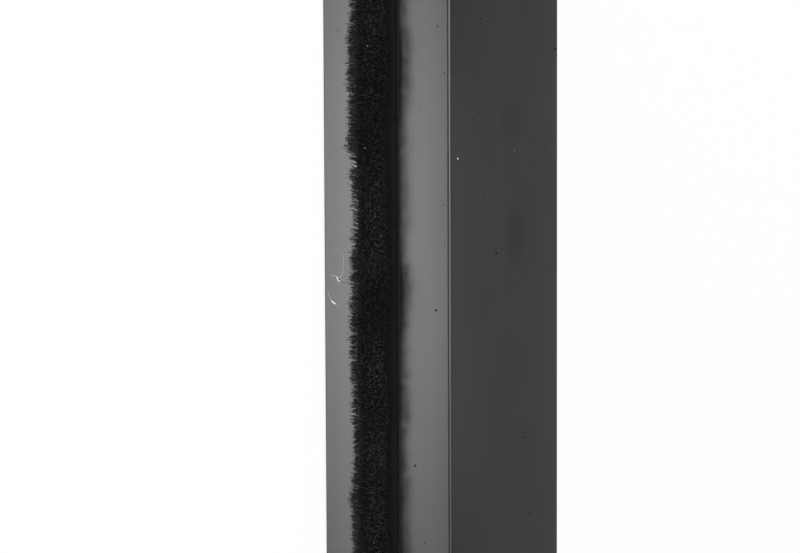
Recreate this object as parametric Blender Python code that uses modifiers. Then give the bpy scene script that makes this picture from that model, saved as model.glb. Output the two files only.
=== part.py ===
"""Brush seal strip: a black aluminium angle with a T-slot in one leg, and a woven pile seal slid into the slot.

Metres, +Z up. The strip lies along Y on its two leg tips, with its ridge upwards, as it rests by itself.
The section is drawn in (u, v): u runs down the pile leg and v down the plain leg, both from the sharp outer
corner, so the two outer faces are the lines v = 0 and u = 0.
"""

import math

import bmesh
import bpy

MM = 0.001

# Stock length, and the two legs of the angle over their outer faces
STRIP_LENGTH = 1000 * MM
PILE_LEG = 20 * MM
PLAIN_LEG = 20 * MM
WALL = 1.6 * MM

# Edge radii of the extrusion
RIDGE_RADIUS = 0.4 * MM
TIP_RADIUS = 0.3 * MM
INNER_RADIUS = 0.6 * MM
BOSS_RADIUS = 0.4 * MM
SLOT_RADIUS = 0.15 * MM

# Pile seal: its woven backing, and the pile that stands on it
PILE_SETBACK = 9.3 * MM  # from the pile leg's tip to the middle of the pile
BACKING_WIDTH = 6.9 * MM
BACKING_THICKNESS = 0.8 * MM
BACKING_RADIUS = 0.2 * MM
PILE_OVERALL_HEIGHT = 4.0 * MM  # from the underside of the backing to the tips
PILE_ROOT_WIDTH = 4.6 * MM
PILE_TIP_WIDTH = 5.35 * MM
PILE_CROWN_WIDTH = 4.5 * MM  # the flat that shearing leaves between the splayed edges
PILE_SHOULDER_DROP = 0.35 * MM  # how far the splayed edges hang below the crown
TUFT_PITCH = 2.5 * MM
TUFT_NOTCH_DEPTH = 0.35 * MM  # how far the valley between two tuft rows lies below the crown
TUFT_NOTCH_INSET = 0.2 * MM  # how far that valley is drawn in at each edge

# T-slot round the backing, and the boss under the leg that holds it
SLIDE_CLEARANCE = 0.15 * MM
WEAVE_GAP = 0.1 * MM
LIP_THICKNESS = 1.0 * MM
SLOT_FLOOR = 1.1 * MM
SLOT_SIDE = 1.0 * MM

ARC_STEPS = 4  # even, so that a corner turned to 45 degrees rests on a point of its arc
RIDGE_ARC_STEPS = 8

# Worked out from the sizes above
PILE_CENTRE = PILE_LEG - PILE_SETBACK
SLOT_WIDTH = BACKING_WIDTH + 2 * SLIDE_CLEARANCE
SLOT_DEPTH = BACKING_THICKNESS + 2 * SLIDE_CLEARANCE
BOSS_WIDTH = SLOT_WIDTH + 2 * SLOT_SIDE
BOSS_DEPTH = LIP_THICKNESS + SLOT_DEPTH + SLOT_FLOOR
BACKING_TOP = LIP_THICKNESS + SLIDE_CLEARANCE
BACKING_BOTTOM = BACKING_TOP + BACKING_THICKNESS
PILE_ROOT = BACKING_TOP - WEAVE_GAP
PILE_PROUD = PILE_OVERALL_HEIGHT - BACKING_BOTTOM
ROOT_TO_EDGE = PILE_ROOT + PILE_PROUD - PILE_SHOULDER_DROP
SPLAY = (PILE_TIP_WIDTH - PILE_ROOT_WIDTH) / ROOT_TO_EDGE
THROAT_WIDTH = PILE_ROOT_WIDTH + SPLAY * PILE_ROOT + 2 * SLIDE_CLEARANCE


def clear_scene():
    for obj in list(bpy.data.objects):
        bpy.data.objects.remove(obj)


def make_material(name, colour, roughness, metallic):
    material = bpy.data.materials.new(name)
    material.use_nodes = True
    shader = material.node_tree.nodes["Principled BSDF"]
    shader.inputs["Base Color"].default_value = (*colour, 1)
    shader.inputs["Roughness"].default_value = roughness
    shader.inputs["Metallic"].default_value = metallic
    return material


def make_section_frame(collection):
    """An empty on the ridge line, turned so that its X is u, its Y is v and its Z runs along the strip."""
    tilt = math.atan2(PLAIN_LEG - WALL, PILE_LEG - WALL)
    pile_tip = PILE_LEG - TIP_RADIUS
    plain_tip = PLAIN_LEG - TIP_RADIUS
    wall_inside = WALL - TIP_RADIUS
    height = pile_tip * math.sin(tilt) + wall_inside * math.cos(tilt) + TIP_RADIUS
    left = -pile_tip * math.cos(tilt) + TIP_RADIUS * math.sin(tilt) - TIP_RADIUS
    right = plain_tip * math.sin(tilt) - TIP_RADIUS * math.cos(tilt) + TIP_RADIUS

    frame = bpy.data.objects.new("section_frame", None)
    frame.location = (-(left + right) / 2, 0, height)
    frame.rotation_euler = (math.pi / 2, math.pi - tilt, 0)
    collection.objects.link(frame)
    return frame


def rounded_outline(corners, steps):
    """The closed outline through corners (u, v, radius, steps or None), with each corner replaced by its arc."""
    outline = []
    for i, (u, v, radius, own_steps) in enumerate(corners):
        before = corners[i - 1]
        after = corners[(i + 1) % len(corners)]
        back = math.atan2(before[1] - v, before[0] - u)
        ahead = math.atan2(after[1] - v, after[0] - u)
        opening = (ahead - back) % (2 * math.pi)
        side = 1
        if opening > math.pi:
            opening = 2 * math.pi - opening
            side = -1
        bisector = back + side * opening / 2
        centre_distance = radius / math.sin(opening / 2)
        centre_u = u + centre_distance * math.cos(bisector)
        centre_v = v + centre_distance * math.sin(bisector)
        sweep = math.pi - opening
        middle = bisector + math.pi
        count = own_steps or steps
        for k in range(count + 1):
            angle = middle + side * sweep * (0.5 - k / count)
            outline.append((centre_u + radius * math.cos(angle), centre_v + radius * math.sin(angle)))
    return outline


def extrude_section(name, outline, length, material, frame, collection):
    """A flat filled outline in the frame's u and v, extruded half its length to each side."""
    curve = bpy.data.curves.new(name, "CURVE")
    curve.dimensions = "2D"
    curve.fill_mode = "BOTH"
    curve.extrude = length / 2
    spline = curve.splines.new("POLY")
    spline.points.add(len(outline) - 1)
    for point, (u, v) in zip(spline.points, outline):
        point.co = (u, v, 0, 1)
    spline.use_cyclic_u = True
    curve.materials.append(material)

    strip = bpy.data.objects.new(name, curve)
    strip.parent = frame
    collection.objects.link(strip)
    return strip


def make_carrier(frame, collection):
    """The extruded angle: two legs, and the T-slot with the boss that closes it under the pile leg."""
    near_throat = PILE_CENTRE - THROAT_WIDTH / 2
    far_throat = PILE_CENTRE + THROAT_WIDTH / 2
    near_slot = PILE_CENTRE - SLOT_WIDTH / 2
    far_slot = PILE_CENTRE + SLOT_WIDTH / 2
    near_boss = PILE_CENTRE - BOSS_WIDTH / 2
    far_boss = PILE_CENTRE + BOSS_WIDTH / 2
    slot_bottom = LIP_THICKNESS + SLOT_DEPTH

    pile_leg_face = [
        (0, 0, RIDGE_RADIUS, RIDGE_ARC_STEPS),
        (near_throat, 0, SLOT_RADIUS, None),
        (near_throat, LIP_THICKNESS, SLOT_RADIUS, None),
        (near_slot, LIP_THICKNESS, SLOT_RADIUS, None),
        (near_slot, slot_bottom, SLOT_RADIUS, None),
        (far_slot, slot_bottom, SLOT_RADIUS, None),
        (far_slot, LIP_THICKNESS, SLOT_RADIUS, None),
        (far_throat, LIP_THICKNESS, SLOT_RADIUS, None),
        (far_throat, 0, SLOT_RADIUS, None),
    ]
    pile_leg_back = [
        (PILE_LEG, 0, TIP_RADIUS, None),
        (PILE_LEG, WALL, TIP_RADIUS, None),
        (far_boss, WALL, BOSS_RADIUS, None),
        (far_boss, BOSS_DEPTH, BOSS_RADIUS, None),
        (near_boss, BOSS_DEPTH, BOSS_RADIUS, None),
        (near_boss, WALL, BOSS_RADIUS, None),
    ]
    plain_leg = [
        (WALL, WALL, INNER_RADIUS, None),
        (WALL, PLAIN_LEG, TIP_RADIUS, None),
        (0, PLAIN_LEG, TIP_RADIUS, None),
    ]
    outline = rounded_outline(pile_leg_face + pile_leg_back + plain_leg, ARC_STEPS)
    black_anodised = make_material("black_anodised_aluminium", (0.012, 0.012, 0.012), 0.27, 0.0)
    return extrude_section("angle_carrier", outline, STRIP_LENGTH, black_anodised, frame, collection)


def make_backing(frame, collection):
    """The flat woven strip that the pile is bound into, lying in the T-slot."""
    near = PILE_CENTRE - BACKING_WIDTH / 2
    far = PILE_CENTRE + BACKING_WIDTH / 2
    corners = [
        (near, BACKING_TOP, BACKING_RADIUS, None),
        (far, BACKING_TOP, BACKING_RADIUS, None),
        (far, BACKING_BOTTOM, BACKING_RADIUS, None),
        (near, BACKING_BOTTOM, BACKING_RADIUS, None),
    ]
    woven = make_material("woven_backing", (0.02, 0.02, 0.021), 0.8, 0.0)
    outline = rounded_outline(corners, ARC_STEPS)
    return extrude_section("pile_backing", outline, STRIP_LENGTH, woven, frame, collection)


def pile_outline(drop, inset):
    """One cross-section of the pile, root to crown, as (u, v): a valley has a drop and an inset, a crest none."""
    half_root = PILE_ROOT_WIDTH / 2
    half_tip = PILE_TIP_WIDTH / 2 - inset
    half_crown = PILE_CROWN_WIDTH / 2 - inset
    edge = PILE_PROUD - PILE_SHOULDER_DROP - drop
    crown = PILE_PROUD - drop
    right_side = [(half_root, -PILE_ROOT), (half_tip, edge), (half_crown, crown)]
    left_side = [(-across, up) for across, up in reversed(right_side)]
    return [(PILE_CENTRE + across, -up) for across, up in right_side + left_side]


def place_ring(verts, outline, along):
    for vert, (u, v) in zip(verts, outline):
        vert.co = (u, v, along)


def make_tuft_row(pitch):
    """One row of tufts as an open sleeve along Z, from valley through crest to valley."""
    valley = pile_outline(TUFT_NOTCH_DEPTH, TUFT_NOTCH_INSET)
    crest = pile_outline(0, 0)
    row = bmesh.new()
    ring = [row.verts.new((0, 0, 0)) for _ in valley]
    for i, vert in enumerate(ring):
        row.edges.new((ring[i - 1], vert))
    place_ring(ring, valley, 0)
    row.verts.index_update()

    edges = list(row.edges)
    for outline, along in ((crest, pitch / 2), (valley, pitch)):
        grown = bmesh.ops.extrude_edge_only(row, edges=edges)["geom"]
        verts = [item for item in grown if isinstance(item, bmesh.types.BMVert)]
        edges = [item for item in grown if isinstance(item, bmesh.types.BMEdge)]
        place_ring(verts, outline, along)

    mesh = bpy.data.meshes.new("tuft_row")
    row.to_mesh(mesh)
    row.free()
    return mesh


def make_pile(frame, collection):
    """Rows of tufts, repeated at the weave's pitch, fused side by side and closed at the two cut ends."""
    rows = round(STRIP_LENGTH / TUFT_PITCH)
    pitch = STRIP_LENGTH / rows
    sleeve = bpy.data.objects.new("tuft_rows", make_tuft_row(pitch))
    collection.objects.link(sleeve)
    array = sleeve.modifiers.new("rows", "ARRAY")
    array.count = rows
    array.use_relative_offset = False
    array.use_constant_offset = True
    array.constant_offset_displace = (0, 0, pitch)
    array.use_merge_vertices = True
    array.merge_threshold = 0.00001
    bpy.context.view_layer.update()

    evaluated = sleeve.evaluated_get(bpy.context.evaluated_depsgraph_get())
    mesh = bpy.data.meshes.new_from_object(evaluated)
    bpy.data.objects.remove(sleeve)
    mesh.name = "brush_pile"
    body = bmesh.new()
    body.from_mesh(mesh)
    open_edges = [edge for edge in body.edges if edge.is_boundary]
    bmesh.ops.holes_fill(body, edges=open_edges)
    bmesh.ops.recalc_face_normals(body, faces=body.faces)
    body.to_mesh(mesh)
    body.free()
    mesh.materials.append(make_material("black_pile_fibre", (0.01, 0.01, 0.01), 0.85, 0.0))

    pile = bpy.data.objects.new("brush_pile", mesh)
    pile.parent = frame
    pile.location = (0, 0, -STRIP_LENGTH / 2)
    collection.objects.link(pile)
    return pile


def main():
    clear_scene()
    strip = bpy.data.collections.new("brush_seal_strip")
    bpy.context.scene.collection.children.link(strip)
    frame = make_section_frame(strip)
    make_carrier(frame, strip)
    make_backing(frame, strip)
    make_pile(frame, strip)


main()
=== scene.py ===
import math

import bpy
import numpy as np
from mathutils import Matrix, Vector


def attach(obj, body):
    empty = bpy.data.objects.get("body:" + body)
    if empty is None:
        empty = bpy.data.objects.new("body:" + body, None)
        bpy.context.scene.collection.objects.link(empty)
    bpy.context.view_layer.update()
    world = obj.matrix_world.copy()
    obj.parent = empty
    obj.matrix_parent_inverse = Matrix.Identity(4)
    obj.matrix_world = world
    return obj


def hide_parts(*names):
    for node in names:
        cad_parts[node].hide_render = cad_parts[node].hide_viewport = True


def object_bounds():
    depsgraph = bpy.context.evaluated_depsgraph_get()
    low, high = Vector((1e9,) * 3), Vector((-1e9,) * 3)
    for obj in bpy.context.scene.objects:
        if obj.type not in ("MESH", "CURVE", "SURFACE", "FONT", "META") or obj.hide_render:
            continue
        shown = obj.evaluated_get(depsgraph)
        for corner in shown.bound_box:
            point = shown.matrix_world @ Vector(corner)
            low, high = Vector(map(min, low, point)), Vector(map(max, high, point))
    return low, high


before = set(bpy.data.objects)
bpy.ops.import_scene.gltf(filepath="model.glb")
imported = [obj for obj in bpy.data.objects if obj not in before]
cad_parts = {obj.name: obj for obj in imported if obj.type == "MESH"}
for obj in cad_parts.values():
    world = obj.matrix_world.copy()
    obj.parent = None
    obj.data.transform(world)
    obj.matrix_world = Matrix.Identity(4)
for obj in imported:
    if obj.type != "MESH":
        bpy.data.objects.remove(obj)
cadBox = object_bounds()
mm = 0.001

strip = {
    "leg": 20.0 * mm,  # over the outer faces, both legs alike
    "ridgeRadius": 0.4 * mm,
    "pileCentre": 10.7 * mm,  # from the sharp ridge, down the pile leg
    "length": cadBox[1].y - cadBox[0].y,
}

# The ridge is a sharp corner before its rounding, so it lies a little above the box
ridgeRounding = strip["ridgeRadius"] * (math.sqrt(2) - 1)
ridgePoint = np.array([0.0, 0.0, cadBox[1].z + ridgeRounding])
downPile = np.array([-1.0, 0.0, -1.0]) / math.sqrt(2)
offPile = np.array([-1.0, 0.0, 1.0]) / math.sqrt(2)
downPlain = np.array([1.0, 0.0, -1.0]) / math.sqrt(2)
offPlain = np.array([1.0, 0.0, 1.0]) / math.sqrt(2)
alongStrip = np.array([0.0, 1.0, 0.0])


def onLeg(downWay, offWay, down, off, along):
    down, off, along = np.broadcast_arrays(down, off, along)
    return ridgePoint + down[..., None] * downWay + off[..., None] * offWay + along[..., None] * alongStrip


def onPileLeg(down, off, along):
    return onLeg(downPile, offPile, down, off, along)


def onPlainLeg(down, off, along):
    return onLeg(downPlain, offPlain, down, off, along)


def deselectAll():
    if bpy.context.object and bpy.context.object.mode != "OBJECT":
        bpy.ops.object.mode_set(mode="OBJECT")
    bpy.ops.object.select_all(action="DESELECT")


def editWhole():
    bpy.ops.object.mode_set(mode="EDIT")
    bpy.ops.mesh.select_all(action="SELECT")


# Small helpers for node trees
def addNode(tree, kind, settings=None, **inputs):
    node = tree.nodes.new(kind)
    for key, value in (settings or {}).items():
        setattr(node, key, value)
    for key, value in inputs.items():
        node.inputs[key.replace("_", " ")].default_value = value
    return node


def feed(tree, socket, value):
    # A value is either a number or the output of another node
    if isinstance(value, bpy.types.NodeSocket):
        tree.links.new(value, socket)
    else:
        socket.default_value = value


def mathNode(tree, operation, first, second=0.0, third=0.0):
    node = addNode(tree, "ShaderNodeMath", {"operation": operation})
    for number, value in enumerate((first, second, third)):
        feed(tree, node.inputs[number], value)
    return node.outputs["Value"]


def product(tree, first, *others):
    for value in others:
        first = mathNode(tree, "MULTIPLY", first, value)
    return first


def total(tree, first, *others):
    for value in others:
        first = mathNode(tree, "ADD", first, value)
    return first


def ramp(tree, value, fromMin, fromMax, toMin=0.0, toMax=1.0):
    node = addNode(tree, "ShaderNodeMapRange", {"interpolation_type": "SMOOTHSTEP"})
    for name, number in (("From Min", fromMin), ("From Max", fromMax), ("To Min", toMin), ("To Max", toMax)):
        feed(tree, node.inputs[name], number)
    feed(tree, node.inputs["Value"], value)
    return node.outputs["Result"]


def mixColour(tree, share, first, second):
    node = addNode(tree, "ShaderNodeMix", {"data_type": "RGBA"})
    feed(tree, node.inputs["Factor"], share)
    colours = [socket for socket in node.inputs if socket.type == "RGBA"]
    feed(tree, colours[0], first)
    feed(tree, colours[1], second)
    return [socket for socket in node.outputs if socket.type == "RGBA"][0]


def mixShader(tree, share, first, second):
    node = addNode(tree, "ShaderNodeMixShader")
    for number, value in enumerate((share, first, second)):
        feed(tree, node.inputs[number], value)
    return node.outputs["Shader"]


def newMaterial(name):
    material = bpy.data.materials.new(name)
    material.use_nodes = True
    tree = material.node_tree
    return material, tree, tree.nodes["Principled BSDF"]


def newGroup(name, inputs, outputs):
    group = bpy.data.node_groups.new(name, "ShaderNodeTree")
    for label, kind, value in inputs:
        group.interface.new_socket(name=label, in_out="INPUT", socket_type=kind).default_value = value
    for label, kind in outputs:
        group.interface.new_socket(name=label, in_out="OUTPUT", socket_type=kind)
    return group


def makePlaceGroup():
    # Where a point lies, in mm: down either leg from the sharp ridge, along the strip, above that leg's
    # outer face, and on which side, -1 for the pile leg and 1 for the plain one
    outputs = [("Place", "NodeSocketVector")]
    outputs += [(label, "NodeSocketFloat") for label in ("Down", "Along", "Rise", "Side")]
    group = newGroup("stripPlace", [], outputs)
    corner = addNode(group, "ShaderNodeTexCoord")
    scaled = addNode(group, "ShaderNodeVectorMath", {"operation": "SCALE"}, Scale=1 / mm)
    axes = addNode(group, "ShaderNodeSeparateXYZ")
    group.links.new(corner.outputs["Object"], scaled.inputs["Vector"])
    group.links.new(scaled.outputs["Vector"], axes.inputs["Vector"])
    x, y, z = (axes.outputs[label] for label in "XYZ")
    high = mathNode(group, "SUBTRACT", z, float(ridgePoint[2]) / mm)
    aside = mathNode(group, "ABSOLUTE", x)
    down = product(group, mathNode(group, "SUBTRACT", aside, high), math.sqrt(0.5))
    rise = product(group, total(group, high, aside), math.sqrt(0.5))
    end = addNode(group, "NodeGroupOutput")
    group.links.new(scaled.outputs["Vector"], end.inputs["Place"])
    for label, value in (("Down", down), ("Along", y), ("Rise", rise), ("Side", mathNode(group, "SIGN", x))):
        group.links.new(value, end.inputs[label])
    return group


def makeToneGroup():
    # Noise that each material stretches in its own way, plain and as a share between two of its levels
    inputs = [("Place", "NodeSocketVector", (0, 0, 0)), ("Stretch", "NodeSocketVector", (1, 1, 1))]
    inputs += [("Detail", "NodeSocketFloat", 2.0), ("Roughness", "NodeSocketFloat", 0.5)]
    inputs += [("Low", "NodeSocketFloat", 0.35), ("High", "NodeSocketFloat", 0.65)]
    group = newGroup("unevenTone", inputs, [("Noise", "NodeSocketFloat"), ("Share", "NodeSocketFloat")])
    start = addNode(group, "NodeGroupInput")
    end = addNode(group, "NodeGroupOutput")
    stretched = addNode(group, "ShaderNodeVectorMath", {"operation": "MULTIPLY"})
    group.links.new(start.outputs["Place"], stretched.inputs[0])
    group.links.new(start.outputs["Stretch"], stretched.inputs[1])
    noise = addNode(group, "ShaderNodeTexNoise", Scale=1.0)
    group.links.new(stretched.outputs["Vector"], noise.inputs["Vector"])
    group.links.new(start.outputs["Detail"], noise.inputs["Detail"])
    group.links.new(start.outputs["Roughness"], noise.inputs["Roughness"])
    share = ramp(group, noise.outputs["Fac"], start.outputs["Low"], start.outputs["High"])
    group.links.new(noise.outputs["Fac"], end.inputs["Noise"])
    group.links.new(share, end.inputs["Share"])
    return group


placeGroup = makePlaceGroup()
toneGroup = makeToneGroup()


def useGroup(tree, group, **values):
    node = addNode(tree, "ShaderNodeGroup", {"node_tree": group})
    for key, value in values.items():
        feed(tree, node.inputs[key], value)
    return node.outputs


def joinVector(tree, x, y, z):
    node = addNode(tree, "ShaderNodeCombineXYZ")
    for label, value in (("X", x), ("Y", y), ("Z", z)):
        feed(tree, node.inputs[label], value)
    return node.outputs["Vector"]


# Camera
cameraSetup = {
    "focalLength": 100,
    "sensorWidth": 36,
    "swing": -2.985,  # degrees from straight above, towards the plain leg when positive
    "tilt": 3.69,  # degrees towards +Y
    "roll": -0.237,
    "distance": 268.69 * mm,
    "sideways": -4.92 * mm,  # where the middle of the view lies
    "clip": (0.01, 50),
}


def makeCamera(setup):
    swing = math.radians(setup["swing"])
    tilt = math.radians(setup["tilt"])
    towards = Vector((math.sin(swing) * math.cos(tilt), math.sin(tilt), math.cos(swing) * math.cos(tilt)))
    right = Vector((0, 1, 0)).cross(towards).normalized()
    up = towards.cross(right)
    turned = Matrix.Rotation(math.radians(setup["roll"]), 3, towards)
    right = turned @ right
    up = turned @ up
    bpy.ops.object.camera_add(location=towards * setup["distance"] + right * setup["sideways"])
    camera = bpy.context.object
    camera.name = "photoCamera"
    camera.rotation_euler = Matrix((right, up, towards)).transposed().to_euler()
    camera.data.lens = setup["focalLength"]
    camera.data.sensor_width = setup["sensorWidth"]
    camera.data.clip_start, camera.data.clip_end = setup["clip"]
    bpy.context.scene.camera = camera


deselectAll()
makeCamera(cameraSetup)
print("camera done")


# Studio: a white world and floor, a low light at the left and a softbox overhead
studio = {
    "floorSize": 12,
    "floorColour": (0.86, 0.86, 0.86, 1),
    "floorOwnLight": 0.85,
    "floorSheenRoughness": 0.12,
    "floorIor": 1.45,
    "ambient": 0.35,
    # Elevations are in degrees above the floor, and shifts are along the strip
    "sideLight": {
        "elevation": 8.0, "distance": 0.5, "shift": -0.009, "width": 0.14, "length": 0.197, "radiance": 15.0,
    },
    "topLight": {"elevation": 86.0, "distance": 0.9, "shift": 0.2, "width": 0.4, "length": 0.7, "radiance": 8.5},
}


def addAreaLight(name, values, towards):
    # The lamp's width lies across the strip and its length along it; its power is set from the radiance
    elevation = math.radians(values["elevation"])
    aim = Vector((0, values["shift"], 0))
    back = Vector((towards * math.cos(elevation), 0, math.sin(elevation)))
    bpy.ops.object.light_add(type="AREA", location=aim + back * values["distance"])
    lamp = bpy.context.object
    lamp.name = name
    along = Vector((0, 1, 0))
    across = along.cross(back).normalized()
    lamp.rotation_euler = Matrix((across, back.cross(across), back)).transposed().to_euler()
    lamp.data.shape = "RECTANGLE"
    lamp.data.size = values["width"]
    lamp.data.size_y = values["length"]
    lamp.data.energy = values["radiance"] * math.pi * values["width"] * values["length"]
    lamp.visible_camera = False


def seenDirectly(tree):
    # 1 for what the camera sees straight on, in a reflection or through glass
    path = addNode(tree, "ShaderNodeLightPath").outputs
    seen = mathNode(tree, "MAXIMUM", path["Is Camera Ray"], path["Is Glossy Ray"])
    return mathNode(tree, "MAXIMUM", seen, path["Is Transmission Ray"])


def makeWorld(setup):
    world = bpy.data.worlds.new("studioWorld")
    bpy.context.scene.world = world
    world.use_nodes = True
    tree = world.node_tree
    background = tree.nodes["Background"]
    background.inputs["Color"].default_value = (1, 1, 1, 1)
    strength = addNode(tree, "ShaderNodeMapRange", To_Min=setup["ambient"], To_Max=1.0)
    feed(tree, strength.inputs["Value"], seenDirectly(tree))
    feed(tree, background.inputs["Strength"], strength.outputs["Result"])


def makeFloor(setup):
    bpy.ops.mesh.primitive_plane_add(size=setup["floorSize"])
    floor = bpy.context.object
    floor.name = "studioFloor"
    material, tree = newMaterial("studioFloor")[:2]
    tree.nodes.clear()
    diffuse = addNode(tree, "ShaderNodeBsdfDiffuse", Color=setup["floorColour"])
    ownLight = addNode(tree, "ShaderNodeEmission", Strength=1.0)
    share = product(tree, seenDirectly(tree), setup["floorOwnLight"])
    plain = mixShader(tree, share, diffuse.outputs["BSDF"], ownLight.outputs["Emission"])
    # The table top has a slight sheen, which the metal mirrors; seen directly it stays plain
    sheen = addNode(tree, "ShaderNodeBsdfGlossy", Roughness=setup["floorSheenRoughness"])
    fresnel = addNode(tree, "ShaderNodeFresnel", IOR=setup["floorIor"])
    path = addNode(tree, "ShaderNodeLightPath")
    sheenShare = product(tree, fresnel.outputs["Fac"], path.outputs["Is Glossy Ray"])
    polished = mixShader(tree, sheenShare, plain, sheen.outputs["BSDF"])
    output = addNode(tree, "ShaderNodeOutputMaterial")
    feed(tree, output.inputs["Surface"], polished)
    floor.data.materials.append(material)


def makeStudio(setup):
    addAreaLight("sideLight", setup["sideLight"], -1)
    addAreaLight("topLight", setup["topLight"], 1)
    makeWorld(setup)
    makeFloor(setup)


makeStudio(studio)
bpy.context.scene.view_settings.view_transform = "Standard"
print("studio done")


# Black anodised aluminium of the carrier
anodised = {
    "colour": (0.0088, 0.0088, 0.009, 1),
    "hazeColour": (0.0055, 0.0055, 0.0057, 1),
    "hazeStretch": (0.16, 0.07, 1),
    "hazeLevels": (0.38, 0.66),
    "paintedBandColour": (0.024, 0.024, 0.0243, 1),  # painted light: a lighter band on the plain leg beside the ridge
    "paintedBandWidth": 8.5,  # mm
    "paintedBandMost": 0.6,
    "roughness": 0.41,
    "ridgeRoughness": 0.27,  # the rounding of the ridge shines more
    "ridgeBurnish": 0.27,  # mm either side of the middle
    "roughnessChange": 0.05,
    "ior": 1.4,
    "shoulderWidth": 8.0,  # mm; the faces fall away a little beside the ridge
    "shoulderFall": 0.22,
    "shoulderPower": 3.0,
    "tipWidth": 4.0,
    "tipFall": 0.1,
    "tipPower": 2.0,
    "dieLines": 0.0016,  # mm deep
    "dieLineStretch": (2.6, 0.012, 1),
    "mottle": 0.0035,
    "mottleStretch": (0.9, 0.45, 1),
    # The painted light and shade, and the stains, are on the outer faces only, and fade in at these limits, in mm
    "outerFace": (-0.3, -0.1),
    "sideFade": 0.4,
    "paintedPileLightColour": (0.03, 0.03, 0.03, 1),  # painted light: lighter beside the pile, in its shadow on the ridge side and towards the leg's tip
    "paintedPileLightRidge": (7.5, 8.0),  # mm down, from none to all
    "paintedPileLightFoot": (8.35, 8.0),
    "paintedPileLightTip": (18.8, 15.8),
    "paintedPileLightStretch": (0.8, 0.25, 1),
    "paintedPileLightLevels": (-0.4, 0.5),
    "paintedPileLightMost": 0.85,
    # Painted light and shade: the plain leg is coloured lighter and darker in slow waves along the strip, as the
    # lamps fall off; it also has a few darker stains
    "stainAndShadeColour": (0.0005, 0.0005, 0.0005, 1),
    "paintedShadeStrength": 0.4,  # how strong the painted shade is where the painted light is least
    "waveLengths": (110, 173),  # mm
    "waveLevels": (0.1, 1.5),
    "stains": [  # down the leg, along the strip, half width, half length, all in mm, and how strong
        (11.7, 5.2, 2.4, 4.6, 1.0),
        (11.1, 19.0, 2.6, 4.2, 0.55),
        (13.3, -19.0, 2.8, 3.6, 0.5),
        (9.0, 88.0, 3.0, 5.0, 0.8),
        (14.0, -131.0, 2.5, 4.0, 0.7),
        (6.5, 262.0, 2.4, 4.4, 0.6),
        (12.0, -327.0, 3.0, 5.5, 0.8),
    ],
}


def below(tree, value, limits):
    # 0 above the first limit, 1 below the second
    return ramp(tree, value, limits[1], limits[0], 1.0, 0.0)


def edgeFall(tree, away, width, power, fall):
    # How far a face falls away within a width of its edge
    near = mathNode(tree, "SUBTRACT", 1.0, mathNode(tree, "DIVIDE", away, width))
    near = mathNode(tree, "MAXIMUM", near, 0.0)
    return product(tree, mathNode(tree, "POWER", near, power), -fall)


def skinHeight(tree, values, down, onFace, lines):
    # Die lines run along the strip; the mottle is the slight unevenness of the etched skin
    shoulder = edgeFall(tree, down, values["shoulderWidth"], values["shoulderPower"], values["shoulderFall"])
    fromTip = mathNode(tree, "SUBTRACT", strip["leg"] / mm, down)
    tipDrop = edgeFall(tree, fromTip, values["tipWidth"], values["tipPower"], values["tipFall"])
    mottle = useGroup(tree, toneGroup, Place=onFace, Stretch=values["mottleStretch"], Detail=3.0)["Noise"]
    texture = total(tree, product(tree, lines, values["dieLines"]), product(tree, mottle, values["mottle"]))
    return total(tree, total(tree, shoulder, tipDrop), texture)


def paintedLightAlong(tree, values, along):
    # Painted light: where along the strip the plain leg is coloured lighter
    wave = 0.0
    for length in values["waveLengths"]:
        wave = total(tree, wave, mathNode(tree, "COSINE", product(tree, along, 2 * math.pi / length)))
    return ramp(tree, wave, *values["waveLevels"])


def stainAndShadeShare(tree, values, down, along, lightAlong):
    # Painted shade where the painted light along the strip is least, together with the listed stains
    evenly = total(tree, product(tree, lightAlong, values["paintedShadeStrength"]), 1 - values["paintedShadeStrength"])
    stainAndShade = mathNode(tree, "SUBTRACT", 1.0, evenly)
    for placeDown, placeAlong, halfWidth, halfLength, strength in values["stains"]:
        awayDown = mathNode(tree, "DIVIDE", mathNode(tree, "SUBTRACT", down, placeDown), halfWidth)
        awayAlong = mathNode(tree, "DIVIDE", mathNode(tree, "SUBTRACT", along, placeAlong), halfLength)
        away = total(tree, mathNode(tree, "POWER", awayDown, 2.0), mathNode(tree, "POWER", awayAlong, 2.0))
        stainAndShade = mathNode(tree, "MAXIMUM", stainAndShade, ramp(tree, away, 0.0, 1.0, strength, 0.0))
    return stainAndShade


def paintedPileLightShare(tree, values, down, onFace):
    # Painted light beside the pile: in its shadow on its ridge side, and from the pile towards the leg's tip
    ridgeSide = product(tree, ramp(tree, down, *values["paintedPileLightRidge"]), below(tree, down, values["paintedPileLightFoot"]))
    beyond = mathNode(tree, "GREATER_THAN", down, strip["pileCentre"] / mm)
    tipSide = product(tree, beyond, below(tree, down, values["paintedPileLightTip"]))
    low, high = values["paintedPileLightLevels"]
    patchy = useGroup(tree, toneGroup, Place=onFace, Stretch=values["paintedPileLightStretch"], Low=low, High=high)["Share"]
    return product(tree, mathNode(tree, "MAXIMUM", ridgeSide, tipSide), patchy, values["paintedPileLightMost"])


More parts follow.
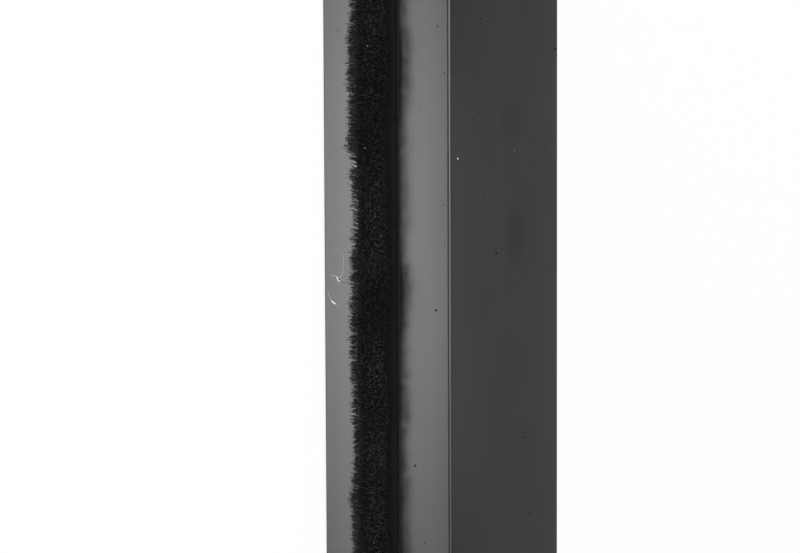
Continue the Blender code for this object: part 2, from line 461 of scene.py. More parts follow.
def makeAnodised(values):
    material, tree, shader = newMaterial("blackAnodisedAluminium")
    where = useGroup(tree, placeGroup)
    down, along, side = where["Down"], where["Along"], where["Side"]
    axes = addNode(tree, "ShaderNodeSeparateXYZ")
    tree.links.new(where["Place"], axes.inputs["Vector"])
    x = axes.outputs["X"]
    onFace = joinVector(tree, down, along, side)
    stretch = values["dieLineStretch"]
    lines = useGroup(tree, toneGroup, Place=onFace, Stretch=stretch, Detail=5.0, Roughness=0.6)["Noise"]
    bump = addNode(tree, "ShaderNodeBump", Strength=1.0, Distance=mm)
    tree.links.new(skinHeight(tree, values, down, onFace, lines), bump.inputs["Height"])
    tree.links.new(bump.outputs["Normal"], shader.inputs["Normal"])

    low, high = values["hazeLevels"]
    hazeTone = {"Stretch": values["hazeStretch"], "Detail": 4.0, "Roughness": 0.55, "Low": low, "High": high}
    haze = useGroup(tree, toneGroup, Place=onFace, **hazeTone)["Share"]
    skin = mixColour(tree, haze, values["colour"], values["hazeColour"])
    fade = values["sideFade"]
    outside = ramp(tree, where["Rise"], *values["outerFace"])
    plainSide = product(tree, ramp(tree, x, 0.0, fade), outside)
    pileSide = product(tree, ramp(tree, x, -fade, 0.0, 1.0, 0.0), outside)
    lightAlong = paintedLightAlong(tree, values, along)
    # Painted light: a lighter band on the plain leg beside the ridge, strongest where the painted light along the
    # strip is
    paintedBandReach = product(tree, ramp(tree, down, 0.0, values["paintedBandWidth"], 1.0, 0.0), lightAlong)
    paintedBand = product(tree, plainSide, product(tree, paintedBandReach, values["paintedBandMost"]))
    skin = mixColour(tree, paintedBand, skin, values["paintedBandColour"])
    # Stains, and painted shade where the painted light along the strip is least
    stainAndShade = product(tree, stainAndShadeShare(tree, values, down, along, lightAlong), plainSide)
    skin = mixColour(tree, stainAndShade, skin, values["stainAndShadeColour"])
    # Painted light beside the pile
    paintedPileLight = product(tree, paintedPileLightShare(tree, values, down, onFace), pileSide)
    skin = mixColour(tree, paintedPileLight, skin, values["paintedPileLightColour"])
    tree.links.new(skin, shader.inputs["Base Color"])

    aside = mathNode(tree, "ABSOLUTE", x)
    burnish = ramp(tree, aside, values["ridgeBurnish"] * 0.8, values["ridgeBurnish"])
    uneven = product(tree, mathNode(tree, "SUBTRACT", lines, 0.5), values["roughnessChange"])
    rough = total(tree, ramp(tree, burnish, 0.0, 1.0, values["ridgeRoughness"], values["roughness"]), uneven)
    tree.links.new(rough, shader.inputs["Roughness"])
    shader.inputs["IOR"].default_value = values["ior"]
    return material


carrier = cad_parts["angle_carrier"]
carrier.data.materials.clear()
carrier.data.materials.append(makeAnodised(anodised))


# Woven backing in the slot: flat tapes crossing over and under
backing = {
    "colour": (0.009, 0.009, 0.0095, 1),
    "edgeColour": (0.04, 0.04, 0.041, 1),
    "roughness": 0.62,
    "threads": 1.6,  # to the mm
    "depth": 0.05,  # mm
    "fuzz": (9, 9, 9),
    "edgeLevels": (0.2, 1.1),
}


def makeWoven(values):
    material, tree, shader = newMaterial("wovenBacking")
    where = useGroup(tree, placeGroup)
    across, along, through = where["Down"], where["Along"], where["Rise"]
    turn = values["threads"] * math.pi
    warp = mathNode(tree, "SINE", product(tree, across, turn))
    weft = mathNode(tree, "SINE", product(tree, along, turn))
    layer = mathNode(tree, "SINE", product(tree, through, turn * 2))
    over = total(tree, product(tree, warp, weft), product(tree, layer, 0.5))
    fuzz = useGroup(tree, toneGroup, Place=where["Place"], Stretch=values["fuzz"])["Noise"]
    height = total(tree, product(tree, over, 0.5), fuzz)
    bump = addNode(tree, "ShaderNodeBump", Strength=1.0, Distance=values["depth"] * mm)
    tree.links.new(height, bump.inputs["Height"])
    tree.links.new(bump.outputs["Normal"], shader.inputs["Normal"])
    # Painted shade and highlight: the weave is coloured darker where it lies low and lighter on its raised
    # crossings
    tone = ramp(tree, height, *values["edgeLevels"])
    tree.links.new(mixColour(tree, tone, values["colour"], values["edgeColour"]), shader.inputs["Base Color"])
    shader.inputs["Roughness"].default_value = values["roughness"]
    return material


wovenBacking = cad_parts["pile_backing"]
wovenBacking.data.materials.clear()
wovenBacking.data.materials.append(makeWoven(backing))
print("metal and backing done")


# Fibre pile: tufts of fibres that fan out over the slot's lips, round a dark body
pile = {
    "seed": 7,
    "proud": 2.05 * mm,  # the sheared tips above the leg's face
    "halfRoot": 2.3 * mm,
    "halfFoot": 2.39 * mm,  # where it fills the gap between the slot's lips
    "outerDrop": 0.25 * mm,  # how much lower the outer tips stand than the middle ones
    "tuftPitch": 0.44 * mm,
    "columns": 8,
    # How unevenly the tufts stand, lean and end: first as shares of their pitch and of half the pile's width
    "alongScatter": 0.14,
    "acrossScatter": 0.04,
    "leanScatter": 0.05,
    "outScatter": 0.03,
    "heightScatter": 0.05 * mm,
    "fibreLeanScatter": 0.14,
    "thicknessRange": (0.6, 1.2),
    "sag": 0.1 * mm,  # a leaning fibre rises steeply first and turns over near its tip
    "sagScatter": 0.03 * mm,
    # Fibres in a tuft, how far it keeps its width at its tips, how far its middle stands out as a point,
    # and how unevenly its fibres spread and end
    "fieldFibres": {
        "each": 7, "gather": 1.0, "point": 0.0, "fray": 0.08, "cut": 0.08 * mm, "thickness": 0.1 * mm,
    },
    "secondFibres": {
        "each": 15, "gather": 0.9, "point": 0.1, "fray": 0.09, "cut": 0.1 * mm, "thickness": 0.09 * mm,
    },
    "outerFibres": {
        "each": 26, "gather": 0.95, "point": 0.06, "fray": 0.1, "cut": 0.12 * mm, "thickness": 0.065 * mm,
    },
    "strayFibres": {
        "each": 4, "gather": 0.9, "point": 0.14, "fray": 0.10, "cut": 0.12 * mm, "thickness": 0.09 * mm,
    },
    "ridgeFibres": {
        "each": 10, "gather": 1.0, "point": 0.0, "fray": 0.1, "cut": 0.12 * mm, "thickness": 0.1 * mm,
    },
    # Short fibres that bulge over the slot's lip on the ridge side
    "footFibres": {
        "each": 6, "gather": 0.9, "point": 0.0, "fray": 0.35, "cut": 0.06 * mm, "thickness": 0.09 * mm,
    },
    # Whole fibres that cover the body at both cut ends
    "endFibres": {
        "each": 40, "gather": 1.0, "point": 0.0, "fray": 0.06, "cut": 0.1 * mm, "thickness": 0.09 * mm,
    },
    "endDepth": 0.9 * mm,
    "endFoot": -0.97 * mm,  # down to the backing
    "footHeight": 0.28 * mm,
    "footSplay": -1.4,
    "footStart": -0.02 * mm,
    "edgeStart": -0.3 * mm,  # the edges' fibres come up from inside the slot
    "fibreLength": 1.0 * mm,
    "wholeFibreRoot": 0.42,  # of a thickness of 1, where the tip has 0.5
    "ringHeight": 0.6,  # of a bent fibre's height
    "ringWidening": 2.2,  # the ring keeps most of the fibre's thickness
    "leanOut": 0.16,  # sideways for each unit of height, away from the ridge
    "splay": 0.27,
    "ridgeSplay": 0.45,
    "flare": 0.08,  # more splay towards the outer edge
    # Slow waves along the pile: how strong each is, the spacing of its long and short swells, and how
    # strong the short one is beside the long one
    "leanWave": 0.22,
    "leanSpacing": 7 * mm,
    "heightWave": 0.08 * mm,
    "heightSpacing": 6 * mm,
    "outerWave": 0.06,
    "outerSpacings": (6 * mm, 1.2 * mm),
    "outerShort": 0.3,
    "ridgeWave": 0.12,
    "ridgeSpacings": (4.5 * mm, 2.0 * mm),
    "ridgeShort": 0.1,
    "pieces": 3,
    # The body: how far its top lies below the tips, and further at its edges, and how its walls lean
    "coreSlices": 1200,
    "coreDepth": 0.3 * mm,
    "coreOuterDrop": 0.65 * mm,
    "coreRidgeDrop": 0.4 * mm,
    "coreBumps": 0.04 * mm,
    "coreMiddle": 0.75 * mm,
    "coreBottom": -1.0 * mm,
    "coreEndGap": 0.5 * mm,
    "coreWallGap": 0.05 * mm,
    "coreOuterSplay": 0.2,
    "coreRidgeSplay": 0.17,
    "coreSmoothAngle": 50,
    "darkColour": (0.005, 0.005, 0.005, 1),
    "lightColour": (0.0105, 0.0105, 0.0105, 1),
    "outerPaintedLightColour": (0.032, 0.032, 0.032, 1),  # painted light: the outer fibres, towards the side light, are coloured lighter
    "outerPaintedLightFrom": (11.4, 13.4),  # mm down
    "toneStretch": (3.5, 3.5, 3.5),
    # Painted light near the pile's foot, and painted shade in its depth between the tips
    "footPaintedLightColour": (0.016, 0.016, 0.016, 1),
    "wallColour": (0.0095, 0.0095, 0.0095, 1),
    "wallFrom": (0.0, 0.7),  # mm above the leg
    "depthPaintedShadeColour": (0.0045, 0.0045, 0.0045, 1),
    "depthFrom": (1.2, 1.7),
    "roughness": 0.4,
    "shine": 0.35,
    "patchEnd": 0.2,  # of half the pile's width, short of its middle
    "patches": [  # places where the fibres at the outer edge lie over
        {"along": 26.0 * mm, "spread": 9.0 * mm, "lean": 0.1, "out": 0.12, "thin": 0.0},
        {"along": 7.6 * mm, "spread": 3.2 * mm, "lean": 0.6, "out": -0.05, "thin": 0.75},
        {"along": 14.3 * mm, "spread": 0.7 * mm, "lean": 0.8, "out": 0.1, "thin": 0.3},
        {"along": 13.2 * mm, "spread": 0.35 * mm, "lean": 0.0, "out": -0.5, "thin": 0.5},
        {"along": -1.8 * mm, "spread": 0.8 * mm, "lean": 0.1, "out": -0.1, "thin": 0.4},
    ],
}


def makeFibreMaterial(values):
    material, tree, shader = newMaterial("blackPileFibre")
    place = useGroup(tree, placeGroup)
    tone = useGroup(tree, toneGroup, Place=place["Place"], Stretch=values["toneStretch"], Detail=1.0)["Share"]
    # Painted light: the outer fibres are coloured lighter
    outer = ramp(tree, place["Down"], *values["outerPaintedLightFrom"])
    light = mixColour(tree, outer, values["lightColour"], values["outerPaintedLightColour"])
    tree.links.new(mixColour(tree, tone, values["darkColour"], light), shader.inputs["Base Color"])
    shader.inputs["Roughness"].default_value = values["roughness"]
    shader.inputs["Specular IOR Level"].default_value = values["shine"]
    return material


fibreMaterial = makeFibreMaterial(pile)


def makeShadeMaterial(values):
    # The body of the pile: fibres side by side on its walls, with painted light near its foot and painted shade in
    # the depth between the tips
    material, tree, shader = newMaterial("pileShade")
    rise = useGroup(tree, placeGroup)["Rise"]
    wall = mixColour(tree, ramp(tree, rise, *values["wallFrom"]), values["footPaintedLightColour"], values["wallColour"])
    shade = mixColour(tree, ramp(tree, rise, *values["depthFrom"]), wall, values["depthPaintedShadeColour"])
    tree.links.new(shade, shader.inputs["Base Color"])
    shader.inputs["Roughness"].default_value = 1
    shader.inputs["Specular IOR Level"].default_value = 0
    return material


shadeMaterial = makeShadeMaterial(pile)


def readTemplate(cone):
    points = np.array([vert.co for vert in cone.data.vertices])
    faces = np.array([list(face.vertices) for face in cone.data.polygons])
    bpy.data.objects.remove(cone)
    return points, faces


def newPiece(name, placed, faces):
    # One mesh from many copies of a template, given where the points of each copy lie
    copies, points = placed.shape[:2]
    allFaces = faces[None, :, :] + (np.arange(copies) * points)[:, None, None]
    mesh = bpy.data.meshes.new(name)
    mesh.from_pydata(placed.reshape(-1, 3), [], allFaces.reshape(-1, 3).tolist())
    piece = bpy.data.objects.new(name, mesh)
    bpy.context.scene.collection.objects.link(piece)
    return piece


def makeFibre(rootRadius, tipRadius):
    # A three-sided fibre, 1 high
    deselectAll()
    bpy.ops.mesh.primitive_cone_add(
        vertices=3, radius1=rootRadius, radius2=tipRadius, depth=1, location=(0, 0, 0.5)
    )
    bpy.ops.object.transform_apply(location=True, rotation=False, scale=False)
    return bpy.context.object


def splitFaces(ring=None):
    # Leaves triangles only, and puts a ring of points at that height first if one is given
    editWhole()
    if ring:
        bpy.ops.mesh.bisect(plane_co=(0, 0, ring), plane_no=(0, 0, 1))
        bpy.ops.mesh.select_all(action="SELECT")
    bpy.ops.mesh.quads_convert_to_tris()
    bpy.ops.object.mode_set(mode="OBJECT")


def makeCutFibre():
    # A fibre of the field and the edges: its sheared tip is blunt, and it thins towards its root
    return readTemplate(makeFibre(0, 0.5))


def makeWholeFibre(values):
    # A fibre of the cut ends, nearly as thick at its root as at its tip
    fibre = makeFibre(values["wholeFibreRoot"], 0.5)
    splitFaces()
    return readTemplate(fibre)


def makeStrayFibre(values):
    # A stray fibre of the outer edge, with a ring so that it can bend
    fibre = makeFibre(0.5, 0)
    splitFaces(values["ringHeight"])
    for vert in fibre.data.vertices:
        if abs(vert.co.z - values["ringHeight"]) < 0.1:
            vert.co.x *= values["ringWidening"]
            vert.co.y *= values["ringWidening"]
    return readTemplate(fibre)


def joinFibres(name, template, roots, tips, thickness, sag, spin):
    # Copies of the template from each root to its tip, as one mesh; sag moves the middle of a fibre
    points, faces = template
    axis = tips - roots
    length = np.linalg.norm(axis, axis=1, keepdims=True)
    axis = axis / length
    side = np.cross(axis, alongStrip)
    side = side / np.linalg.norm(side, axis=1, keepdims=True)
    other = np.cross(axis, side)
    cosine = np.cos(spin)[:, None]
    sine = np.sin(spin)[:, None]
    side, other = side * cosine + other * sine, other * cosine - side * sine
    x, y, z = points[:, 0], points[:, 1], points[:, 2]
    placed = (
        roots[:, None, :]
        + axis[:, None, :] * (z[None, :, None] * length[:, None, :])
        + side[:, None, :] * (x[None, :, None] * thickness[:, None, None])
        + other[:, None, :] * (y[None, :, None] * thickness[:, None, None])
        + sag[:, None, :] * (4 * z * (1 - z))[None, :, None]
    )
    return newPiece(name, placed, faces)


def smoothWave(random, spacing):
    # A smooth random line along the strip, as a function of the place along it
    low = -strip["length"] / 2 - 2 * spacing
    values = random.normal(size=int((strip["length"] + 5 * spacing) / spacing) + 2)

    def wave(along):
        where = (along - low) / spacing
        index = np.floor(where).astype(int)
        share = where - index
        share = share * share * (3 - 2 * share)
        return values[index] * (1 - share) + values[index + 1] * share

    return wave


def makeWaves(values):
    # The slow unevenness that the tufts and the body under them share
    random = np.random.default_rng(values["seed"] + 1)
    lean = smoothWave(random, values["leanSpacing"])
    height = smoothWave(random, values["heightSpacing"])
    outerLong, outerShort = [smoothWave(random, spacing) for spacing in values["outerSpacings"]]
    ridgeLong, ridgeShort = [smoothWave(random, spacing) for spacing in values["ridgeSpacings"]]

    def outward(along, share):
        outer = values["outerWave"] * (outerLong(along) + values["outerShort"] * outerShort(along))
        ridge = values["ridgeWave"] * (ridgeLong(along) + values["ridgeShort"] * ridgeShort(along))
        return share * np.where(share > 0, outer, ridge)

    return {
        "lean": lambda along: values["leanWave"] * lean(along),
        "height": lambda along: values["heightWave"] * height(along),
        "outward": outward,
    }


def makeTufts(values, random, waves):
    # Where the tufts stand and how they lean, row by row along the strip
    rows = round(strip["length"] / values["tuftPitch"])
    columns = values["columns"]
    scatter = values["alongScatter"] * random.normal(size=(rows, columns))
    along = -strip["length"] / 2 + (np.arange(rows)[:, None] + 0.5 + scatter) * (strip["length"] / rows)
    scatter = values["acrossScatter"] * random.normal(size=(rows, columns))
    share = (np.arange(columns)[None, :] + 0.5) / columns * 2 - 1 + scatter
    along, share = along.ravel(), np.clip(share.ravel(), -1, 1)
    count = len(along)
    lean = values["leanScatter"] * random.normal(size=count) + waves["lean"](along)
    splay = np.where(share > 0, values["splay"] + values["flare"] * share, values["ridgeSplay"])
    out = values["leanOut"] + splay * share
    out = out + values["outScatter"] * random.normal(size=count)
    out = out + waves["outward"](along, share)
    thin = np.zeros(count)
    # The patches are strongest at the outer edge
    outer = np.clip((share - values["patchEnd"]) / (1 - values["patchEnd"]), 0, 1)
    for patch in values["patches"]:
        near = np.exp(-(((along - patch["along"]) / patch["spread"]) ** 2)) * outer
        lean = lean * (1 - near) + patch["lean"] * near
        out = out + patch["out"] * near
        thin = np.maximum(thin, patch["thin"] * near)
    drop = np.where(share > 0, values["outerDrop"], 0)
    height = values["proud"] - drop * np.abs(share) ** 3 + values["heightScatter"] * random.normal(size=count)
    height = height + waves["height"](along)
    column = np.tile(np.arange(columns), rows)
    return {
        "along": along, "share": share, "lean": lean, "out": out, "height": height, "column": column, "thin": thin,
    }


def growFibres(values, random, tufts, chosen, kind, start, name, template):
    # The fibres of the chosen tufts, from start up to the sheared tips; a start above 0 is their length
    index = np.repeat(np.flatnonzero(chosen), kind["each"])
    index = index[random.uniform(size=len(index)) > tufts["thin"][index]]
    count = len(index)
    pitch = values["tuftPitch"]
    aside = random.uniform(-0.5, 0.5, (2, count)) * pitch
    along = tufts["along"][index]
    across = tufts["share"][index] * values["halfRoot"]
    lean = tufts["lean"][index] + values["fibreLeanScatter"] * random.normal(size=count)
    out = tufts["out"][index] + kind["fray"] * random.normal(size=count)
    height = tufts["height"][index] + kind["cut"] * random.normal(size=count)
    foot = np.full(count, start) if start < 0 else height - start
    centre = strip["pileCentre"]
    gather = kind["gather"]
    out = out - kind["point"] * np.abs(aside[1] / pitch * 2) ** 1.5
    risen = np.maximum(foot, 0)
    keep = 1 - (1 - gather) * risen / height
    rootDown = centre + across + aside[0] * keep + out * risen
    roots = onPileLeg(rootDown, foot, along + aside[1] * keep + lean * risen)
    tipDown = centre + across + aside[0] * gather + out * height
    tips = onPileLeg(tipDown, height, along + aside[1] * gather + lean * height)
    low, high = -strip["length"] / 2, strip["length"] / 2
    inside = (np.minimum(roots[:, 1], tips[:, 1]) > low) & (np.maximum(roots[:, 1], tips[:, 1]) < high)
    thickness = kind["thickness"] * random.uniform(*values["thicknessRange"], count)
    sag = offPile * values["sag"] + random.normal(size=(count, 3)) * values["sagScatter"]
    spin = random.uniform(0, 2 * math.pi, count)
    made = []
    reach = strip["length"] / values["pieces"]
    for number in range(values["pieces"]):
        first = low + number * reach
        here = inside & (along >= first) & (along < first + reach)
        if here.any():
            fibres = (roots[here], tips[here], thickness[here], sag[here], spin[here])
            made.append(joinFibres(name + "_" + str(number + 1), template, *fibres))
    return made


def makePile(values, waves):
    random = np.random.default_rng(values["seed"])
    tufts = makeTufts(values, random, waves)
    column = tufts["column"]
    last = values["columns"] - 1
    field = (column > 0) & (column < last - 1)
    straight = makeCutFibre()
    bowed = makeStrayFibre(values)
    whole = makeWholeFibre(values)
    reach, edge = values["fibreLength"], values["edgeStart"]
    feet = dict(tufts)
    for key, value in (("share", -1.0), ("height", values["footHeight"]), ("out", values["footSplay"])):
        feet[key] = np.full(len(column), value)
    atEnds = np.abs(tufts["along"]) > strip["length"] / 2 - values["endDepth"]
    made = []
    for name, which, chosen, kind, start, template in (
        ("pileField", tufts, field, "fieldFibres", reach, straight),
        ("pileSecondEdge", tufts, column == last - 1, "secondFibres", reach, straight),
        ("pileOuterEdge", tufts, column == last, "outerFibres", edge, straight),
        ("pileStrays", tufts, column == last, "strayFibres", edge, bowed),
        ("pileRidgeEdge", tufts, column == 0, "ridgeFibres", reach, straight),
        ("pileRidgeFoot", feet, column == 0, "footFibres", values["footStart"], straight),
        ("pileEnds", tufts, atEnds, "endFibres", values["endFoot"], whole),
    ):
        made += growFibres(values, random, which, chosen, values[kind], start, name, template)
    return made


def makePileCore(values, waves):
    # The dark body of the pile under the tips: a grid wrapped round the pile's section
    levels = ["bottom", "foot", "middle"] + ["top"] * 7 + ["middle", "foot", "bottom"]
    shares = [-1, -1, -1, -1, -0.84, -0.5, 0, 0.5, 0.84, 1, 1, 1, 1]
    sides = len(shares)
    deselectAll()
    bpy.ops.mesh.primitive_grid_add(x_subdivisions=sides, y_subdivisions=values["coreSlices"], size=1)
    core = bpy.context.object
    core.name = "pileCore"
    points = np.array([vert.co for vert in core.data.vertices])
    corner = np.round((points[:, 0] + 0.5) * sides).astype(int) % sides
    cut = np.round((points[:, 1] + 0.5) * values["coreSlices"]).astype(int)
    along = points[:, 1] * (strip["length"] - 2 * values["coreEndGap"])
    share = np.array(shares)[corner]
    level = np.array(levels)[corner]
    random = np.random.default_rng(values["seed"] + 2)
    bumps = random.normal(size=(values["coreSlices"] + 1, sides))[cut, corner]
    drop = np.where(share > 0, values["coreOuterDrop"], values["coreRidgeDrop"]) * np.abs(share) ** 3
    top = values["proud"] - values["coreDepth"] - drop + waves["height"](along) + values["coreBumps"] * bumps
    off = np.where(level == "top", top, np.where(level == "middle", values["coreMiddle"], values["coreBottom"]))
    off = np.where(level == "foot", 0, off)
    low = (level == "foot") | (level == "bottom")
    half = np.where(low, values["halfFoot"], values["halfRoot"] - values["coreWallGap"])
    splay = np.where(share > 0, values["coreOuterSplay"], values["coreRidgeSplay"]) * share
    out = values["leanOut"] + waves["outward"](along, share) + splay
    down = share * half + out * np.maximum(off, 0)
    for vert, place in zip(core.data.vertices, onPileLeg(strip["pileCentre"] + down, off, along)):
        vert.co = place
    editWhole()
    bpy.ops.mesh.remove_doubles(threshold=0.001 * mm)
    bpy.ops.mesh.select_all(action="SELECT")
    bpy.ops.mesh.fill_holes(sides=0)
    bpy.ops.mesh.select_all(action="SELECT")
    bpy.ops.mesh.normals_make_consistent(inside=False)
    bpy.ops.object.mode_set(mode="OBJECT")
    bpy.ops.object.shade_smooth_by_angle(angle=math.radians(values["coreSmoothAngle"]))
    return core


pileWaves = makeWaves(pile)
pileCore = makePileCore(pile, pileWaves)
pilePieces = makePile(pile, pileWaves)
for piece in [pileCore, *pilePieces]:
    shaded = piece == pileCore or "RidgeFoot" in piece.name
    piece.data.materials.append(shadeMaterial if shaded else fibreMaterial)
    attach(piece, "root")
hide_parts("brush_pile")
print("pile done:", [len(piece.data.polygons) for piece in pilePieces], "faces")

# Lint that lies on the pile leg: pale crumpled bits with thin tails, and a few more further along
lint = {
    "seed": 21,
    "thickness": 0.085 * mm,
    "tailThickness": 0.04 * mm,
    "strands": 5,  # in a bit
    "strandScatter": 0.6,  # of its thickness
    "tailLift": 0.4,
    # More bits at random: how far from the middle of the strip, in metres, and down each leg, in mm
    "more": 8,
    "moreAway": (0.04, 0.48),
    "moreTipSide": (15.5, 18.5),
    "moreRidgeSide": (1.5, 6.5),
    "moreReach": (0.25, 0.45),
    "moreCrook": 0.12,
    "colour": (0.95, 0.95, 0.93, 1),
    "tailColour": (0.66, 0.66, 0.66, 1),
    "darkColour": (0.008, 0.008, 0.008, 1),
    # Down the leg and along the strip, in mm
    "bits": [
        [(17.73, 0.17), (17.54, -0.08), (17.36, -0.31)],
        [(18.66, -2.66), (18.37, -2.86), (18.06, -3.04)],
    ],
    "tails": [
        [(18.75, 0.42), (18.36, 0.3), (18.03, 0.38), (17.75, 0.2)],
        [(17.43, 0.3), (17.11, -0.02), (16.75, -0.24)],
        [(19.35, -1.6), (19.15, -2.05), (18.95, -2.35), (18.6, -2.7)],
        [(18.0, -3.1), (17.73, -3.2), (17.5, -3.26)],
        [(16.68, 2.9), (16.72, 1.3), (17.0, 0.45), (17.5, 0.1)],
    ],
    "darkTails": [[(16.9, -0.3), (16.3, -0.45), (15.7, -0.47), (14.9, -0.54)]],
}


def makeStrand(name, points, thickness):
    # A thin round strand through points, closed at both ends
    deselectAll()
    bpy.ops.curve.primitive_bezier_curve_add(location=(0, 0, 0))
    strand = bpy.context.object
    strand.name = name
    bpy.ops.object.mode_set(mode="EDIT")
    bpy.ops.curve.select_all(action="SELECT")
    bpy.ops.curve.subdivide(number_cuts=len(points) - 2)
    bpy.ops.object.mode_set(mode="OBJECT")
    for knot, place in zip(strand.data.splines[0].bezier_points, points):
        knot.handle_left_type = "AUTO"
        knot.handle_right_type = "AUTO"
        knot.co = place
    strand.data.bevel_depth = thickness / 2
    strand.data.bevel_resolution = 1
    strand.data.resolution_u = 5
    strand.data.use_fill_caps = True
    bpy.ops.object.convert(target="MESH")
    return bpy.context.object


def joinPieces(pieces, name):
    deselectAll()
    for piece in pieces:
        piece.select_set(True)
    bpy.context.view_layer.objects.active = pieces[0]
    bpy.ops.object.join()
    joined = bpy.context.object
    joined.name = name
    joined.data.name = name
    return joined


def makeBit(name, leg, down, along, values, random):
    # A bit of lint is a few strands that lie together
    strands = []
    for number in range(values["strands"]):
        shift = random.normal(size=(2, len(down))) * values["strandScatter"] * values["thickness"]
        off = (0.4 + 0.35 * random.uniform(size=len(down)) * number) * values["thickness"]
        points = leg(down + shift[0], off, along + shift[1])
        strands.append(makeStrand(name + str(number), points, values["thickness"]))
    return strands


def makeLint(values):
    random = np.random.default_rng(values["seed"])
    bits = []
    for number, points in enumerate(values["bits"]):
        down, along = np.array(points).T * mm
        bits += makeBit("bit" + str(number), onPileLeg, down, along, values, random)
    tails = {"tails": [], "darkTails": []}
    for kind, made in tails.items():
        for number, points in enumerate(values[kind]):
            down, along = np.array(points).T * mm
            off = np.full(len(down), values["tailThickness"] * values["tailLift"])
            made.append(makeStrand(kind + str(number), onPileLeg(down, off, along), values["tailThickness"]))
    for number in range(values["more"]):
        # Clear of the stretch that is set above, and of the pile
        along = random.choice([-1, 1]) * random.uniform(*values["moreAway"])
        leg = onPileLeg if number % 3 else onPlainLeg
        down = random.uniform(*values["moreTipSide" if number % 2 else "moreRidgeSide"]) * mm
        turn = random.uniform(0, math.pi)
        reach = random.uniform(*values["moreReach"]) * mm
        share = np.array([-1, 0.1, 1])
        downs = down + reach * share * math.cos(turn)
        alongs = along + reach * share * math.sin(turn) + np.array([0, values["moreCrook"], 0]) * mm
        bits += makeBit("more" + str(number), leg, downs, alongs, values, random)
    pieces = ((bits, "lintBits"), (tails["tails"], "lintTails"), (tails["darkTails"], "lintDarkTail"))
    return [joinPieces(strands, name) for strands, name in pieces]


def makeSpeckMaterial(name, colour, otherColour, fineness):
    material, tree, shader = newMaterial(name)
    place = useGroup(tree, placeGroup)["Place"]
    tone = useGroup(tree, toneGroup, Place=place, Stretch=(fineness,) * 3, Low=0.3, High=0.7)["Share"]
    tree.links.new(mixColour(tree, tone, colour, otherColour), shader.inputs["Base Color"])
    shader.inputs["Roughness"].default_value = 0.9
    shader.inputs["Specular IOR Level"].default_value = 0.1
    return material


lintPieces = makeLint(lint)
lintLooks = (("paleLint", "colour"), ("lintTail", "tailColour"), ("darkLint", "darkColour"))
for piece, (name, colour) in zip(lintPieces, lintLooks):
    piece.data.materials.clear()
    darker = tuple(0.7 * part for part in lint[colour][:3]) + (1,)
    piece.data.materials.append(makeSpeckMaterial(name, lint[colour], darker, 12.0))


# Dust: dark and pale specks on both legs, and a few pale ones caught in the pile
dust = {
    "seed": 33,
    "size": 0.2 * mm,
    "sizeRange": (0.5, 1.1),
    "stretch": (1.25, 0.8, 0.4),  # flattened
    "cornerPull": 0.12,
    "sunk": 0.1,  # the middle of a speck above the face, of its size
    "perMetre": 330,  # on each leg, at most
    "downRange": (0.8, 19.4),  # mm
    "pileRange": (7.4, 14.8),  # kept clear on the pile leg
    "caught": 70,  # in the pile, to the metre
    "caughtRange": (-1.6, 2.4),
    "caughtSize": 0.7,
    "darkColour": (0.003, 0.003, 0.003, 1),
    "otherDark": (0.012, 0.011, 0.01, 1),
    "paleColour": (0.75, 0.75, 0.75, 1),
    "otherPale": (0.5, 0.5, 0.48, 1),
    # The stretch whose specks are listed one by one, and there, in mm, how far down the leg, where along it and
    # how large
    "setFrom": -34 * mm,
    "setTo": 34 * mm,
    "pileLegDark": [
        (7.6, 22.6, 0.3), (1.8, 29.4, 0.22), (0.8, 24.1, 0.2), (17.5, 29.5, 0.2), (6.7, 1.1, 0.22),
        (2.1, -3.0, 0.31), (5.4, -21.3, 0.28), (4.0, -30.2, 0.23), (1.3, -28.8, 0.12), (1.0, 9.1, 0.21),
        (0.8, 4.9, 0.16), (4.4, 20.4, 0.14),
    ],
    "plainLegDark": [
        (5.6, 30.4, 0.23), (4.1, 18.9, 0.19), (6.2, 10.0, 0.16), (8.3, 3.3, 0.28), (19.5, 27.3, 0.3),
        (13.3, -18.9, 0.24), (14.5, -28.3, 0.22), (8.1, -16.8, 0.16), (8.6, -22.1, 0.15), (1.2, -22.2, 0.16),
    ],
    "plainLegPale": [(1.4, 14.4, 0.27), (11.7, 15.2, 0.08), (16.2, 16.4, 0.055)],
    "pilePale": [(10.8, 27.4, 0.12), (9.5, 4.3, 0.09), (9.8, 7.9, 0.06), (9.6, 7.6, 0.06), (11.2, 15.6, 0.14)],
}


def makeSpeck(values):
    # One speck, 1 across, with its corners pulled about
    deselectAll()
    bpy.ops.mesh.primitive_ico_sphere_add(subdivisions=1, radius=0.5)
    speck = bpy.context.object
    editWhole()
    bpy.ops.transform.resize(value=values["stretch"])
    bpy.ops.transform.vertex_random(offset=values["cornerPull"], seed=values["seed"])
    bpy.ops.object.mode_set(mode="OBJECT")
    return readTemplate(speck)


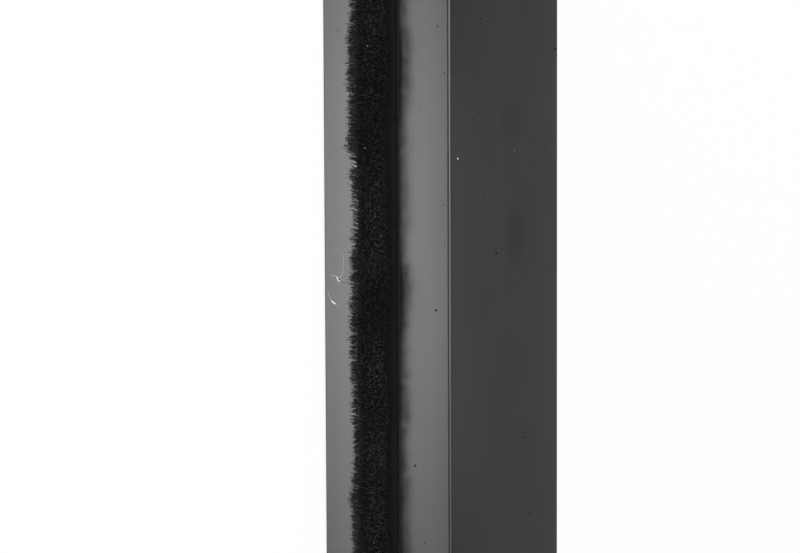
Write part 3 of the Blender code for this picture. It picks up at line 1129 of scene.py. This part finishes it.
def joinSpecks(name, template, leg, places, off, random):
    # Copies of the speck on one leg, as one mesh; places are down, along and size
    points, faces = template
    down, along, size = np.array(places).T
    turn = random.uniform(0, 2 * math.pi, len(down))
    x, y, z = points.T[:, None, :] * size[None, :, None]
    across = x * np.cos(turn)[:, None] - y * np.sin(turn)[:, None]
    onward = x * np.sin(turn)[:, None] + y * np.cos(turn)[:, None]
    # On a face a speck is sunk in a little, so that it rests there whatever its size
    lift = off + dust["sunk"] * size[:, None]
    return newPiece(name, leg(down[:, None] + across, lift + z, along[:, None] + onward), faces)


def sprinkle(values, random, count, clear):
    # Places beyond the stretch whose specks are listed, and off the pile where clear is set
    low = -strip["length"] / 2 + 1 * mm
    along = random.uniform(low, -low, count)
    down = random.uniform(*values["downRange"], count) * mm
    keep = (along < values["setFrom"]) | (along > values["setTo"])
    if clear:
        first, last = values["pileRange"]
        keep = keep & ((down < first * mm) | (down > last * mm))
    size = values["size"] * random.uniform(*values["sizeRange"], count)
    return np.stack([down, along, size], axis=1)[keep]


def makeDust(values):
    random = np.random.default_rng(values["seed"])
    speck = makeSpeck(values)
    count = values["perMetre"]
    made = []
    for name, leg, listed, clear, share in (
        ("dustDarkPileLeg", onPileLeg, "pileLegDark", True, 1.0),
        ("dustDarkPlainLeg", onPlainLeg, "plainLegDark", False, 0.7),
        ("dustPalePlainLeg", onPlainLeg, "plainLegPale", False, 0.2),
    ):
        more = sprinkle(values, random, round(count * share), clear)
        places = np.concatenate([np.array(values[listed]) * mm, more])
        made.append(joinSpecks(name, speck, leg, places, 0.0, random))
    more = sprinkle(values, random, values["caught"], False)
    more[:, 0] = strip["pileCentre"] + random.uniform(*values["caughtRange"], len(more)) * mm
    more[:, 2] *= values["caughtSize"]
    places = np.concatenate([np.array(values["pilePale"]) * mm, more])
    made.append(joinSpecks("dustPalePile", speck, onPileLeg, places, pile["proud"], random))
    return made


darkDust = makeSpeckMaterial("darkDust", dust["darkColour"], dust["otherDark"], 6.0)
paleDust = makeSpeckMaterial("paleDust", dust["paleColour"], dust["otherPale"], 6.0)
dustPieces = makeDust(dust)
for piece in dustPieces:
    piece.data.materials.append(paleDust if "Pale" in piece.name else darkDust)
for piece in [*lintPieces, *dustPieces]:
    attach(piece, "root")
print("lint and dust done")

bpy.context.view_layer.update()
